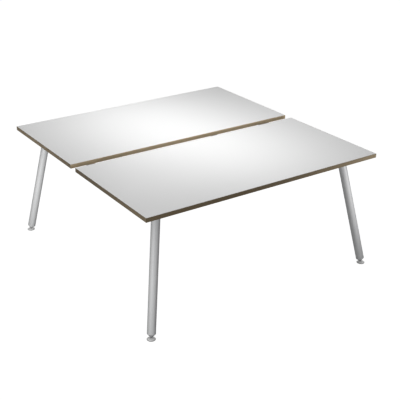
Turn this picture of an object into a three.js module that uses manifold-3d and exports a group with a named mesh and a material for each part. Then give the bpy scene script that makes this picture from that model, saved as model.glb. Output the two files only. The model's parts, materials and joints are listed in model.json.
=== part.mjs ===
// Benching desk for two: two tops back to back on one frame, with a cable gap between them
// and four splayed tube legs on levelling feet.
// Millimetres, +Z up. The origin is on the floor under the middle of the desk. +X runs along
// the tops, and +Y runs from the front top to the rear top.

import * as THREE from 'three';
import { mergeVertices } from 'three/addons/utils/BufferGeometryUtils.js';
import Module from 'manifold-3d';

const wasm = await Module();
wasm.setup();

// Tops
const DESK_HEIGHT = 745;
const TOP_LENGTH = 1600;
const TOP_DEPTH = 800;
const TOP_THICKNESS = 25;
const CABLE_GAP = 60;
const EDGE_BAND = 2;
const EDGE_RADIUS = 1;

// Legs: the axis of each leg is inset from the outer edges of the tops, more at its head
// than at its foot, which gives the leg its lean along both X and Y.
const LEG_DIAMETER = 50;
const LEG_WALL = 2;
const LEG_TOP_INSET = 150;
const FOOT_INSET = 25;

// Cast leg heads: a flange under the top, a boss and plug for the leg, a neck and spigot for the rail
const FLANGE_SIZE = 120;
const FLANGE_THICKNESS = 6;
const FLANGE_CORNER = 15;
const SCREW_INSET = 15;
const BOSS_DROP = 10;
const PLUG_LENGTH = 45;
const NECK_REACH = 75;
const SPIGOT_LENGTH = 45;

// Cross rails from leg head to leg head, and beams along the middle of each top
const RAIL_WIDTH = 20;
const RAIL_DEPTH = 40;
const BEAM_WIDTH = 30;
const BEAM_DEPTH = 40;
const TUBE_WALL = 2;
const TUBE_CORNER = 3;
const PLATE_THICKNESS = 4;
const PLATE_EAR = 22;

// Levelling feet
const PAD_DIAMETER = 50;
const PAD_RIM = 2;
const PAD_FLOOR = 1.2;
const PAD_CHAMFER = 0.6;
const PAD_LIP = 2;
const PAD_TOP = 2.8;
const DOME_BULGE = 0.8;
const MOUTH_FLARE = 0.8;
const MOUTH_WALL = 2.5;
const BALL_DIAMETER = 11;
const NECK_DIAMETER = 5;
const NECK_SEAT = 2.5;
const HEX_ACROSS = 11;
const HEX_RISE = 1;
const HEX_HEIGHT = 2.5;
const STEM_DIAMETER = 8;
const STEM_REACH = 40;
const STEM_CHAMFER = 1;
const SHOWN_THREAD = 1.5;
const TIP_DIAMETER = 20;
const TIP_HEIGHT = 15;
const TIP_PLUG = 30;

// Fasteners: wood screws into the tops, bolts in the frame
const SCREW_DIAMETER = 5;
const SCREW_LENGTH = 22;
const SCREW_HEAD = 11;
const SCREW_HEAD_HEIGHT = 3.2;
const SCREW_KEY = 4;
const BOLT_DIAMETER = 8;
const BOLT_LENGTH = 16;
const BOLT_HEAD = 14;
const BOLT_HEAD_HEIGHT = 4.4;
const BOLT_KEY = 5;

// Clearances: a glue line behind the edge bands, paint between bolted faces, and a gap in round fits
const GLUE = 0.1;
const SEAT = 0.1;
const FIT = 0.3;

// Sides of the round pieces
const LEG_SIDES = 32;
const FOOT_SIDES = 28;
const FASTENER_SIDES = 10;
const ARC_STEPS = 5;
const CORNER_STEPS = 2;
const WELD = 1e-4;

// Places that several pieces share
const underside = DESK_HEIGHT - TOP_THICKNESS;
const seat = underside - SEAT;
const outerX = TOP_LENGTH / 2;
const outerY = CABLE_GAP / 2 + TOP_DEPTH;
const headX = outerX - LEG_TOP_INSET;
const headY = outerY - LEG_TOP_INSET;
const beamY = (CABLE_GAP + TOP_DEPTH) / 2;
const legRadius = LEG_DIAMETER / 2;
const plugRadius = legRadius - LEG_WALL - FIT;
const ballRadius = BALL_DIAMETER / 2;
const socketRadius = ballRadius + FIT;
const ballHeight = PAD_FLOOR + socketRadius;
const bossLength = RAIL_DEPTH + BOSS_DROP;
const screwOffset = FLANGE_SIZE / 2 - SCREW_INSET;
const boltOffset = (BEAM_WIDTH + PLATE_EAR) / 2;
const boltHeight = seat - BEAM_DEPTH / 2;
const railEnd = headY - NECK_REACH - SEAT;
const railBoltY = railEnd - SPIGOT_LENGTH / 2;

// Distances up the axis of a leg, from the centre of its ball
const hexStart = ballRadius + HEX_RISE;
const hexEnd = hexStart + HEX_HEIGHT;
const stemEnd = hexEnd + STEM_REACH;
const tipStart = hexEnd + SHOWN_THREAD;
const tubeStart = tipStart + TIP_HEIGHT;

const corners = [
  { name: 'front_left', sx: -1, sy: -1 },
  { name: 'front_right', sx: 1, sy: -1 },
  { name: 'rear_left', sx: -1, sy: 1 },
  { name: 'rear_right', sx: 1, sy: 1 },
];
const tops = [
  { name: 'front', sy: -1 },
  { name: 'rear', sy: 1 },
];
const ends = [
  { name: 'left', sx: -1 },
  { name: 'right', sx: 1 },
];

function material(color, roughness, metalness) {
  return new THREE.MeshStandardMaterial({ color, roughness, metalness });
}

const whiteLaminate = material(0xeeeeec, 0.35, 0);
const plyEdge = material(0xa8916f, 0.6, 0);
const silverPaint = material(0xb9bbbd, 0.45, 0.6);
const castMetal = material(0xa9abad, 0.5, 0.7);
const zincSteel = material(0x9a9ca0, 0.35, 0.9);
const darkSteel = material(0x4a4b4e, 0.45, 0.8);
const brightSteel = material(0xc4c6c8, 0.25, 0.9);
const greyNylon = material(0xb4b5b4, 0.5, 0);

const desk = new THREE.Group();

// Solids for cutting and joining

function solidOf(geometry) {
  const bare = geometry.clone();
  bare.deleteAttribute('normal');
  bare.deleteAttribute('uv');
  const { attributes, index } = mergeVertices(bare, WELD);
  const triangles = [];
  for (let i = 0; i < index.count; i += 3) {
    const triangle = [index.getX(i), index.getX(i + 1), index.getX(i + 2)];
    if (new Set(triangle).size === 3) triangles.push(...triangle);
  }
  const mesh = new wasm.Mesh({
    numProp: 3,
    vertProperties: attributes.position.array,
    triVerts: Uint32Array.from(triangles),
  });
  return new wasm.Manifold(mesh);
}

function geometryOf(solid) {
  const { vertProperties, triVerts } = solid.getMesh();
  const geometry = new THREE.BufferGeometry();
  geometry.setAttribute('position', new THREE.BufferAttribute(vertProperties, 3));
  geometry.setIndex(new THREE.BufferAttribute(triVerts, 1));
  geometry.computeVertexNormals();
  return geometry;
}

function joined(geometries) {
  return geometries.map(solidOf).reduce((whole, next) => whole.add(next));
}

function cutBy(solid, geometries) {
  return geometries.map(solidOf).reduce((rest, cutter) => rest.subtract(cutter), solid);
}

// Basic forms, all along +Z

function box(width, depth, height, x, y, z) {
  return new THREE.BoxGeometry(width, depth, height).translate(x, y, z);
}

function rod(radius, from, to, sides) {
  const geometry = new THREE.CylinderGeometry(radius, radius, to - from, sides);
  return geometry.rotateX(Math.PI / 2).translate(0, 0, (from + to) / 2);
}

function hexagon(across, from, to) {
  return rod(across / Math.sqrt(3), from, to, 6);
}

function turned(profile, sides) {
  const points = profile.map(([radius, height]) => new THREE.Vector2(radius, height));
  return new THREE.LatheGeometry(points, sides).rotateX(Math.PI / 2);
}

function arcPoints(centre, radius, startAngle, endAngle) {
  const points = [];
  for (let i = 0; i <= ARC_STEPS; i += 1) {
    const angle = startAngle + ((endAngle - startAngle) * i) / ARC_STEPS;
    points.push([radius * Math.cos(angle), centre + radius * Math.sin(angle)]);
  }
  return points;
}

function roundedOutline(path, width, height, radius) {
  const x = width / 2;
  const y = height / 2;
  path.moveTo(x, -y + radius);
  path.lineTo(x, y - radius);
  path.absarc(x - radius, y - radius, radius, 0, Math.PI / 2);
  path.lineTo(-x + radius, y);
  path.absarc(-x + radius, y - radius, radius, Math.PI / 2, Math.PI);
  path.lineTo(-x, -y + radius);
  path.absarc(-x + radius, -y + radius, radius, Math.PI, 1.5 * Math.PI);
  path.lineTo(x - radius, -y);
  path.absarc(x - radius, -y + radius, radius, 1.5 * Math.PI, 2 * Math.PI);
  return path;
}

function extruded(shape, length) {
  const settings = { depth: length, bevelEnabled: false, curveSegments: CORNER_STEPS };
  return new THREE.ExtrudeGeometry(shape, settings).translate(0, 0, -length / 2);
}

function rectangularTube(width, depth, length) {
  const shape = roundedOutline(new THREE.Shape(), width, depth, TUBE_CORNER);
  const bore = roundedOutline(
    new THREE.Path(),
    width - 2 * TUBE_WALL,
    depth - 2 * TUBE_WALL,
    TUBE_CORNER - TUBE_WALL,
  );
  shape.holes.push(bore);
  return extruded(shape, length);
}

function add(parent, name, geometry, finish) {
  const mesh = new THREE.Mesh(geometry, finish);
  mesh.name = name;
  parent.add(mesh);
  return mesh;
}

// Places of the screws of one leg head, measured from the head of the leg
function screwPlaces(sx, sy) {
  return [
    [sx * screwOffset, sy * screwOffset],
    [-sx * screwOffset, -sy * screwOffset],
  ];
}

// Direction up a leg, and the turn that brings +Z to it
function legAxis(sx, sy) {
  const run = LEG_TOP_INSET - FOOT_INSET;
  return new THREE.Vector3(-sx * run, -sy * run, underside - ballHeight);
}

function legTurn(sx, sy) {
  const up = new THREE.Vector3(0, 0, 1);
  return new THREE.Quaternion().setFromUnitVectors(up, legAxis(sx, sy).normalize());
}

// Board of a top, with a pilot hole from below for each screw
function addBoard(name, sy) {
  const width = TOP_LENGTH - 2 * (EDGE_BAND + GLUE);
  const depth = TOP_DEPTH - 2 * (EDGE_BAND + GLUE);
  const pilotTop = SCREW_LENGTH - FLANGE_THICKNESS + FIT;
  const pilots = [];
  for (const { sx } of ends) {
    for (const [x, y] of screwPlaces(sx, sy)) {
      const pilot = rod(SCREW_DIAMETER / 2 + FIT, -FIT, pilotTop, FASTENER_SIDES);
      const across = sy * (headY - beamY) + y;
      pilots.push(pilot.translate(sx * headX + x, across, -TOP_THICKNESS / 2));
    }
  }
  const board = solidOf(box(width, depth, TOP_THICKNESS, 0, 0, 0));
  const mesh = add(desk, `${name}_top_board`, geometryOf(cutBy(board, pilots)), whiteLaminate);
  mesh.position.set(0, sy * beamY, underside + TOP_THICKNESS / 2);
}

// Edge band: a strip with its two outer corners rounded, its outer face towards +X
function edgeBand(length) {
  const x = EDGE_BAND / 2;
  const y = TOP_THICKNESS / 2;
  const shape = new THREE.Shape();
  shape.moveTo(-x, -y);
  shape.lineTo(x - EDGE_RADIUS, -y);
  shape.absarc(x - EDGE_RADIUS, -y + EDGE_RADIUS, EDGE_RADIUS, -Math.PI / 2, 0);
  shape.lineTo(x, y - EDGE_RADIUS);
  shape.absarc(x - EDGE_RADIUS, y - EDGE_RADIUS, EDGE_RADIUS, 0, Math.PI / 2);
  shape.lineTo(-x, y);
  return extruded(shape, length).rotateX(Math.PI / 2);
}

function addEdgeBands(name, sy) {
  const height = underside + TOP_THICKNESS / 2;
  const sideLength = TOP_DEPTH - 2 * (EDGE_BAND + GLUE);
  const longEdges = [
    { place: 'outer', direction: sy },
    { place: 'gap', direction: -sy },
  ];
  for (const { place, direction } of longEdges) {
    const strip = edgeBand(TOP_LENGTH).rotateZ((direction * Math.PI) / 2);
    const mesh = add(desk, `${name}_top_${place}_edge_band`, strip, plyEdge);
    mesh.position.set(0, sy * beamY + (direction * (TOP_DEPTH - EDGE_BAND)) / 2, height);
  }
  for (const end of ends) {
    const strip = edgeBand(sideLength);
    if (end.sx < 0) strip.rotateZ(Math.PI);
    const mesh = add(desk, `${name}_top_${end.name}_edge_band`, strip, plyEdge);
    mesh.position.set(end.sx * (outerX - EDGE_BAND / 2), sy * beamY, height);
  }
}

// Cross rail: an upright rectangular tube, drilled for its end bolts and for the beams
function addCrossRail(name, sx) {
  const tube = rectangularTube(RAIL_WIDTH, RAIL_DEPTH, 2 * railEnd).rotateX(Math.PI / 2);
  const holeRadius = BOLT_DIAMETER / 2 + FIT;
  const holes = [];
  for (const { sy } of tops) {
    const endHole = rod(holeRadius, -RAIL_DEPTH / 2 - FIT, 0, FASTENER_SIDES);
    holes.push(endHole.translate(0, sy * railBoltY, 0));
    for (const side of [-1, 1]) {
      const beamHole = rod(holeRadius, 0, RAIL_WIDTH / 2 + FIT, FASTENER_SIDES);
      beamHole.rotateY((-sx * Math.PI) / 2);
      const z = (RAIL_DEPTH - BEAM_DEPTH) / 2;
      holes.push(beamHole.translate(0, sy * beamY + side * boltOffset, z));
    }
  }
  const mesh = add(desk, `${name}_cross_rail`, geometryOf(cutBy(solidOf(tube), holes)), silverPaint);
  mesh.position.set(sx * headX, 0, seat - RAIL_DEPTH / 2);
}

// Beam: a rectangular tube with an eared plate welded round each end
function addBeam(name, sy) {
  const halfLength = headX - RAIL_WIDTH / 2 - SEAT;
  const tube = rectangularTube(BEAM_WIDTH, BEAM_DEPTH, 2 * halfLength);
  const plateWidth = BEAM_WIDTH + 2 * PLATE_EAR;
  const pieces = [tube];
  const holes = [];
  for (const { sx } of ends) {
    const shape = roundedOutline(new THREE.Shape(), plateWidth, BEAM_DEPTH, TUBE_CORNER);
    const windowWidth = BEAM_WIDTH - 2 * TUBE_WALL;
    const windowDepth = BEAM_DEPTH - 2 * TUBE_WALL;
    const corner = TUBE_CORNER - TUBE_WALL;
    shape.holes.push(roundedOutline(new THREE.Path(), windowWidth, windowDepth, corner));
    const plate = extruded(shape, PLATE_THICKNESS);
    pieces.push(plate.translate(0, 0, sx * (halfLength - PLATE_THICKNESS / 2)));
    for (const side of [-1, 1]) {
      const reach = PLATE_THICKNESS + FIT;
      const hole = rod(BOLT_DIAMETER / 2 + FIT, -reach, reach, FASTENER_SIDES);
      holes.push(hole.translate(side * boltOffset, 0, sx * halfLength));
    }
  }
  const beam = geometryOf(cutBy(joined(pieces), holes));
  beam.rotateX(Math.PI / 2).rotateZ(Math.PI / 2);
  const mesh = add(desk, `${name}_beam`, beam, silverPaint);
  mesh.position.set(0, sy * beamY, boltHeight);
}

// Leg head: one casting, with its flange on the underside of the top
function addLegHead(name, sx, sy) {
  const turn = legTurn(sx, sy);
  const shape = roundedOutline(new THREE.Shape(), FLANGE_SIZE, FLANGE_SIZE, FLANGE_CORNER);
  const flange = extruded(shape, FLANGE_THICKNESS).translate(0, 0, -FLANGE_THICKNESS / 2);
  const boss = rod(legRadius, -bossLength, legRadius, LEG_SIDES).applyQuaternion(turn);
  const plugEnd = -bossLength - PLUG_LENGTH;
  const plug = rod(plugRadius, plugEnd, 0, LEG_SIDES).applyQuaternion(turn);
  const neck = box(RAIL_WIDTH, NECK_REACH, RAIL_DEPTH, 0, (-sy * NECK_REACH) / 2, -RAIL_DEPTH / 2);
  const spigotGap = 2 * (TUBE_WALL + FIT);
  const spigot = box(
    RAIL_WIDTH - spigotGap,
    SPIGOT_LENGTH + NECK_REACH,
    RAIL_DEPTH - spigotGap,
    0,
    (-sy * (SPIGOT_LENGTH + NECK_REACH)) / 2,
    -RAIL_DEPTH / 2,
  );
  const above = box(FLANGE_SIZE, FLANGE_SIZE, LEG_DIAMETER, 0, 0, LEG_DIAMETER / 2);
  const holes = [above];
  for (const x of [-screwOffset, screwOffset]) {
    for (const y of [-screwOffset, screwOffset]) {
      const hole = rod(SCREW_DIAMETER / 2 + FIT, -FLANGE_THICKNESS - FIT, FIT, FASTENER_SIDES);
      holes.push(hole.translate(x, y, 0));
    }
  }
  const boltEnd = -RAIL_DEPTH + BOLT_LENGTH + FIT;
  const thread = rod(BOLT_DIAMETER / 2 + FIT, -RAIL_DEPTH, boltEnd, FASTENER_SIDES);
  holes.push(thread.translate(0, sy * (railBoltY - headY), 0));
  const head = geometryOf(cutBy(joined([flange, boss, plug, neck, spigot]), holes));
  const mesh = add(desk, `${name}_leg_head`, head, castMetal);
  mesh.position.set(sx * headX, sy * headY, seat);
}

// Screw or bolt: a domed head below the plane Z = 0, a shank above it and a hexagon key in the head
function fastener(shankRadius, length, headDiameter, headHeight, keyAcross) {
  const headRadius = headDiameter / 2;
  const crown = 0.6;
  const tip = shankRadius / 3;
  const profile = [
    [0, -headHeight],
    [headRadius * crown, -headHeight],
    [headRadius, -headHeight * (1 - crown)],
    [headRadius, 0],
    [shankRadius, 0],
    [shankRadius, length - tip],
    [shankRadius - tip, length],
    [0, length],
  ];
  const body = solidOf(turned(profile, FASTENER_SIDES));
  const key = hexagon(keyAcross, -headHeight - FIT, -headHeight * (1 - crown));
  return geometryOf(cutBy(body, [key]));
}

function addHeadScrews(name, sx, sy) {
  const places = screwPlaces(sx, sy);
  const labels = ['outer', 'inner'];
  places.forEach(([x, y], i) => {
    const screw = fastener(SCREW_DIAMETER / 2, SCREW_LENGTH, SCREW_HEAD, SCREW_HEAD_HEIGHT, SCREW_KEY);
    const mesh = add(desk, `${name}_${labels[i]}_head_screw`, screw, zincSteel);
    mesh.position.set(sx * headX + x, sy * headY + y, seat - FLANGE_THICKNESS - SEAT);
  });
}

function frameBolt() {
  return fastener(BOLT_DIAMETER / 2, BOLT_LENGTH, BOLT_HEAD, BOLT_HEAD_HEIGHT, BOLT_KEY);
}

function addRailBolt(name, sx, sy) {
  const mesh = add(desk, `${name}_rail_bolt`, frameBolt(), zincSteel);
  mesh.position.set(sx * headX, sy * railBoltY, seat - RAIL_DEPTH - SEAT);
}

function addBeamBolts(name, sx, sy) {
  const plateFace = headX - RAIL_WIDTH / 2 - PLATE_THICKNESS - 2 * SEAT;
  const sides = { a: -1, b: 1 };
  for (const [label, side] of Object.entries(sides)) {
    const bolt = frameBolt().rotateY((sx * Math.PI) / 2);
    const mesh = add(desk, `${name}_beam_bolt_${label}`, bolt, zincSteel);
    mesh.position.set(sx * plateFace, sy * beamY + side * boltOffset, boltHeight);
  }
}

// Leg and foot pieces, in a group that stands along the axis of the leg from the centre of its ball
function addLeg(name, sx, sy) {
  const leg = new THREE.Group();
  leg.position.set(sx * (outerX - FOOT_INSET), sy * (outerY - FOOT_INSET), ballHeight);
  leg.quaternion.copy(legTurn(sx, sy));
  desk.add(leg);
  const tubeEnd = legAxis(sx, sy).length() - bossLength - SEAT - FIT;
  const tubeBottom = tubeStart + FIT;
  const bore = legRadius - LEG_WALL;
  const tube = [
    [bore, tubeBottom],
    [legRadius, tubeBottom],
    [legRadius, tubeEnd],
    [bore, tubeEnd],
    [bore, tubeBottom],
  ];
  add(leg, `${name}_leg_tube`, turned(tube, LEG_SIDES), silverPaint);
  const tipBore = STEM_DIAMETER / 2 + FIT;
  const tip = [
    [tipBore, tipStart],
    [TIP_DIAMETER / 2, tipStart],
    [legRadius, tubeStart],
    [plugRadius, tubeStart],
    [plugRadius, tubeStart + TIP_PLUG],
    [tipBore, tubeStart + TIP_PLUG],
    [tipBore, tipStart],
  ];
  add(leg, `${name}_leg_tip`, turned(tip, LEG_SIDES), silverPaint);
  add(leg, `${name}_foot_stem`, footStem(), darkSteel);
  add(leg, `${name}_foot_ball`, footBall(), greyNylon);
}

function footStem() {
  const neck = NECK_DIAMETER / 2;
  const thread = STEM_DIAMETER / 2;
  const profile = [
    [0, -NECK_SEAT + FIT],
    [neck, -NECK_SEAT + FIT],
    [neck, hexStart + HEX_HEIGHT / 2],
    [thread, hexStart + HEX_HEIGHT / 2],
    [thread, stemEnd - STEM_CHAMFER],
    [thread - STEM_CHAMFER, stemEnd],
    [0, stemEnd],
  ];
  const shaft = turned(profile, FOOT_SIDES / 2);
  return geometryOf(joined([shaft, hexagon(HEX_ACROSS, hexStart, hexEnd)]));
}

// Ball that the neck of the stem is pressed into
function footBall() {
  const ball = turned(
    [[0, -ballRadius], ...arcPoints(0, ballRadius, -Math.PI / 2, Math.PI / 2).slice(1, -1), [0, ballRadius]],
    FOOT_SIDES / 2,
  );
  const socket = rod(NECK_DIAMETER / 2 + FIT, -NECK_SEAT, ballRadius + FIT, FOOT_SIDES / 2);
  return geometryOf(cutBy(solidOf(ball), [socket]));
}

// Pad: a level disc with a domed top and a socket that holds the ball
function addPad(name, sx, sy) {
  const rim = PAD_DIAMETER / 2;
  const lipAngle = Math.asin(PAD_LIP / socketRadius);
  const mouth = socketRadius * Math.cos(lipAngle) + MOUTH_FLARE;
  const crown = mouth + MOUTH_WALL;
  const crownHeight = ballHeight + PAD_TOP;
  const domeMiddle = [(crown + rim) / 2, (crownHeight + PAD_RIM) / 2 + DOME_BULGE];
  const profile = [
    [0, 0],
    [rim - PAD_CHAMFER, 0],
    [rim, PAD_CHAMFER],
    [rim, PAD_RIM - PAD_CHAMFER],
    [rim - PAD_CHAMFER, PAD_RIM],
    domeMiddle,
    [crown, crownHeight],
    [mouth, crownHeight],
    ...arcPoints(ballHeight, socketRadius, lipAngle, -Math.PI / 2).slice(0, -1),
    [0, PAD_FLOOR],
  ];
  const mesh = add(desk, `${name}_foot_pad`, turned(profile, FOOT_SIDES), brightSteel);
  mesh.position.set(sx * (outerX - FOOT_INSET), sy * (outerY - FOOT_INSET), 0);
}

for (const { name, sy } of tops) {
  addBoard(name, sy);
  addEdgeBands(name, sy);
  addBeam(name, sy);
}
for (const { name, sx } of ends) {
  addCrossRail(name, sx);
}
for (const { name, sx, sy } of corners) {
  addLegHead(name, sx, sy);
  addHeadScrews(name, sx, sy);
  addRailBolt(name, sx, sy);
  addBeamBolts(name, sx, sy);
  addLeg(name, sx, sy);
  addPad(name, sx, sy);
}

export default desk;
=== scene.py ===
# %% [markdown]
# # A benching desk for two
# Two white tops lie back to back on one steel frame, with a cable gap between them, and four
# splayed tube legs carry them on small levelling feet. The CAD model is loaded here as a fixed
# frame: it gives the places, most of the sizes and the joints of the feet. The steps below give
# its pieces their finishes, and a finer mesh wherever the CAD solid is too coarse to look real.

# %% Load the frame
import json
import math

import bmesh
import bpy
from mathutils import Matrix, Vector


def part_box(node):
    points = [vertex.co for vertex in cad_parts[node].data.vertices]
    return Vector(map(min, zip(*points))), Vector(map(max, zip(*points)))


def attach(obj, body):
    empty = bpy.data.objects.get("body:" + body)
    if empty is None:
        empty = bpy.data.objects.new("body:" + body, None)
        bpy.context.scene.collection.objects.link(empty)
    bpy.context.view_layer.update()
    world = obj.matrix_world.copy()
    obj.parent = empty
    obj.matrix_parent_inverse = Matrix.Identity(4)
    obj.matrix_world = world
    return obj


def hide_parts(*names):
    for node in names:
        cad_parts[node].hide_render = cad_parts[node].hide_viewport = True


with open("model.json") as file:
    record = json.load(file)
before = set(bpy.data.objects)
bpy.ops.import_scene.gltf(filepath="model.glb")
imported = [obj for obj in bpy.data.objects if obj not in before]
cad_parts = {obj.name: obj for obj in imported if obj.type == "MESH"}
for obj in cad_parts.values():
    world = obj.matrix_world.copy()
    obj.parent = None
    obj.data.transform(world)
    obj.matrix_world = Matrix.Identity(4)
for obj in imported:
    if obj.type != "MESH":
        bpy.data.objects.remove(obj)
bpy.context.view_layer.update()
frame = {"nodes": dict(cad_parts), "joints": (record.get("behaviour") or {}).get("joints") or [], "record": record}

MM = 0.001

# %% [markdown]
# ## Camera
# The desk is seen from its front left corner and from above, with little perspective. A long
# lens far away gives that. Its focal length and place were solved from the corners of the two
# tops, the legs and the feet in the photo, so the model falls on the photo without any shift.
# Turn and drop are in degrees.

# %% Camera
IMAGE_PIXELS = 400
FOCAL_PIXELS = 833.2
SENSOR_MM = 36.0
CAMERA_PLACE = (-2.6724, -4.1065, 2.5687)
CAMERA_TURN = -33.872
CAMERA_DROP = 24.576

camera_data = bpy.data.cameras.new("photo_camera")
camera_data.sensor_width = SENSOR_MM
camera_data.lens = SENSOR_MM * FOCAL_PIXELS / IMAGE_PIXELS
camera = bpy.data.objects.new("photo_camera", camera_data)
camera.location = CAMERA_PLACE
camera.rotation_euler = (math.radians(90 - CAMERA_DROP), 0, math.radians(CAMERA_TURN))
bpy.context.scene.collection.objects.link(camera)
bpy.context.scene.camera = camera
bpy.context.scene.view_settings.view_transform = "Standard"
print("lens:", round(camera_data.lens, 2), "mm")

# %% [markdown]
# ## Nodes
# Every finish below is a small network of shader nodes. Written out in full, each node takes
# several lines, so a few helpers keep the networks readable. The first two place a node and
# fill its inputs, with a link where the value is another node's output. The others do
# arithmetic, mix colours and stretch one range of values to another.

# %% Node helpers
# a Mix node has its own sockets for each kind of data, and these are the ones for colours
MIX_FACTOR = 0
MIX_FIRST = 6
MIX_SECOND = 7
MIX_RESULT = 2


def fill(tree, node, inputs):
    for key, value in inputs.items():
        if isinstance(value, bpy.types.NodeSocket):
            tree.links.new(value, node.inputs[key])
        else:
            node.inputs[key].default_value = value


def put(tree, kind, inputs=None, **settings):
    node = tree.nodes.new(kind)
    for key, value in settings.items():
        setattr(node, key, value)
    fill(tree, node, inputs or {})
    return node


def calc(tree, operation, first, second=0.0):
    values = {0: first, 1: second}
    return put(tree, "ShaderNodeMath", values, operation=operation).outputs["Value"]


def vector_calc(tree, operation, *vectors):
    values = dict(enumerate(vectors))
    return put(tree, "ShaderNodeVectorMath", values, operation=operation).outputs


def mixed(tree, amount, first, second, mode="MIX"):
    values = {MIX_FACTOR: amount, MIX_FIRST: first, MIX_SECOND: second}
    settings = {"data_type": "RGBA", "blend_type": mode}
    return put(tree, "ShaderNodeMix", values, **settings).outputs[MIX_RESULT]


def shaded(tree, colour, shade):
    return mixed(tree, 1.0, colour, shade, "MULTIPLY")


def spread(tree, value, low, high, to_low=0.0, to_high=1.0):
    ends = {"From Min": low, "From Max": high, "To Min": to_low, "To Max": to_high}
    return put(tree, "ShaderNodeMapRange", {"Value": value, **ends}).outputs["Result"]


def between(tree, mask, low, high):
    return spread(tree, mask, 0.0, 1.0, low, high)


print("node helpers ready")

# %% [markdown]
# ## Studio
# The photo has a pure white ground. An environment picture would tint the desk, so the world is
# plain white, and only to rays that look at it. The light that it sheds is weaker, so that the
# colours render about as they are written.

# %% World
AMBIENT = 0.30


def grey(level):
    return (level, level, level, 1.0)


def seen_directly(tree):
    path = put(tree, "ShaderNodeLightPath").outputs
    seen = calc(tree, "MAXIMUM", path["Is Camera Ray"], path["Is Glossy Ray"])
    return calc(tree, "MAXIMUM", seen, path["Is Transmission Ray"])


def split_rays(tree, lighting, looked_at, end):
    ways = {"Fac": seen_directly(tree), 1: lighting.outputs[0], 2: looked_at.outputs[0]}
    split = put(tree, "ShaderNodeMixShader", ways)
    tree.links.new(split.outputs[0], tree.nodes[end].inputs["Surface"])


world = bpy.data.worlds.new("studio")
world.use_nodes = True
bpy.context.scene.world = world
tree = world.node_tree
ambient = tree.nodes["Background"]
fill(tree, ambient, {"Color": grey(1.0), "Strength": AMBIENT})
backdrop = put(tree, "ShaderNodeBackground", {"Color": grey(1.0), "Strength": 1.0})
split_rays(tree, ambient, backdrop, "World Output")
print("world: ambient", AMBIENT)

# %% [markdown]
# ## Floor
# A plain white floor would turn grey away from the lamps. This one glows almost white and adds
# a little of the light that falls on it, so the open floor is white and the soft shadow under
# the desk still shows. The feet screw out by 20 mm, so the floor lies that much lower and no
# pose dips a pad into it.

# %% Floor
FLOOR_REACH = 30.0
FLOOR_LEVEL = -21 * MM
FLOOR_GLOW = 0.915
FLOOR_SHADE = 0.35
FLOOR_BOUNCE = 0.35

floor_material = bpy.data.materials.new("pale_floor")
floor_material.use_nodes = True
tree = floor_material.node_tree
tree.nodes.remove(tree.nodes["Principled BSDF"])
bounce = put(tree, "ShaderNodeBsdfDiffuse", {"Color": grey(FLOOR_BOUNCE)})
shade = put(tree, "ShaderNodeBsdfDiffuse", {"Color": grey(FLOOR_SHADE)})
glow = put(tree, "ShaderNodeEmission", {"Color": grey(1.0), "Strength": FLOOR_GLOW})
shown = put(tree, "ShaderNodeAddShader", {0: glow.outputs[0], 1: shade.outputs[0]})
split_rays(tree, bounce, shown, "Material Output")

floor_mesh = bpy.data.meshes.new("floor")
floor_rim = [(-1, -1), (1, -1), (1, 1), (-1, 1)]
floor_corners = [(x * FLOOR_REACH, y * FLOOR_REACH, FLOOR_LEVEL) for x, y in floor_rim]
floor_mesh.from_pydata(floor_corners, [], [(0, 1, 2, 3)])
floor_mesh.materials.append(floor_material)
floor = bpy.data.objects.new("floor", floor_mesh)
bpy.context.scene.collection.objects.link(floor)
print("floor:", 2 * FLOOR_REACH, "m wide")

# %% [markdown]
# ## Lamps
# The photo has a pool of light on the middle of the tops. A long softbox that hangs across the
# cable gap, turned a little, makes it. Each leg is light on its outside and dark towards the
# middle of the desk, which light from above can't do, because the tops shade the legs. So a
# small softbox stands low beside each leg. A grid in front of it keeps its beam narrow: that
# is the spread of an area lamp, in degrees.

# %% Lamps
GRID_SPREAD = 75
POOL_TURN = 10
# place, aim, width and depth in metres, and watts
LAMPS = {
    "pool": ((0.02, 0.12, 1.62), None, 0.5, 1.8, 10.8),
    "front_left_fill": ((-1.85, -1.40, 0.45), (-0.72, -0.75, 0.35), 0.6, 0.6, 1.8),
    "rear_left_fill": ((-1.70, -0.10, 0.35), (-0.72, 0.75, 0.35), 0.5, 0.5, 2.2),
    "front_right_fill": ((1.25, -1.65, 0.62), (0.76, -0.80, 0.60), 0.5, 0.5, 1.8),
    "rear_right_fill": ((1.85, 1.40, 0.45), (0.72, 0.75, 0.35), 0.6, 0.6, 1.5),
}

for title, (place, aim, width, depth, watts) in LAMPS.items():
    lamp = bpy.data.lights.new(title, "AREA")
    lamp.shape = "RECTANGLE"
    lamp.size = width
    lamp.size_y = depth
    lamp.energy = watts
    softbox = bpy.data.objects.new(title, lamp)
    softbox.location = place
    softbox.visible_camera = False
    if aim:
        lamp.spread = math.radians(GRID_SPREAD)
        beam = Vector(aim) - Vector(place)
        softbox.rotation_euler = beam.to_track_quat("-Z", "Y").to_euler()
    else:
        softbox.rotation_euler.z = math.radians(POOL_TURN)
    bpy.context.scene.collection.objects.link(softbox)
print("lamps:", ", ".join(LAMPS))

# %% [markdown]
# ## Shared effects
# Several finishes need the same things: a fine grain, touch marks that make the gloss uneven,
# edges that are rubbed lighter, and small flakes. Each is a node group, made once and given
# its own values in each material. The pattern follows object coordinates, which are metres in
# the frame of the desk, so a scale of 800 means about 800 grains in a metre.

# %% Group helpers
FLOAT = "NodeSocketFloat"


def new_group(name, inputs, outputs):
    group = bpy.data.node_groups.new(name, "ShaderNodeTree")
    for title, value in inputs.items():
        socket = group.interface.new_socket(title, in_out="INPUT", socket_type=FLOAT)
        socket.default_value = value
    for title in outputs:
        group.interface.new_socket(title, in_out="OUTPUT", socket_type=FLOAT)
    given = put(group, "NodeGroupInput").outputs
    result = put(group, "NodeGroupOutput")
    place = put(group, "ShaderNodeTexCoord").outputs["Object"]
    return group, given, result, place


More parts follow.
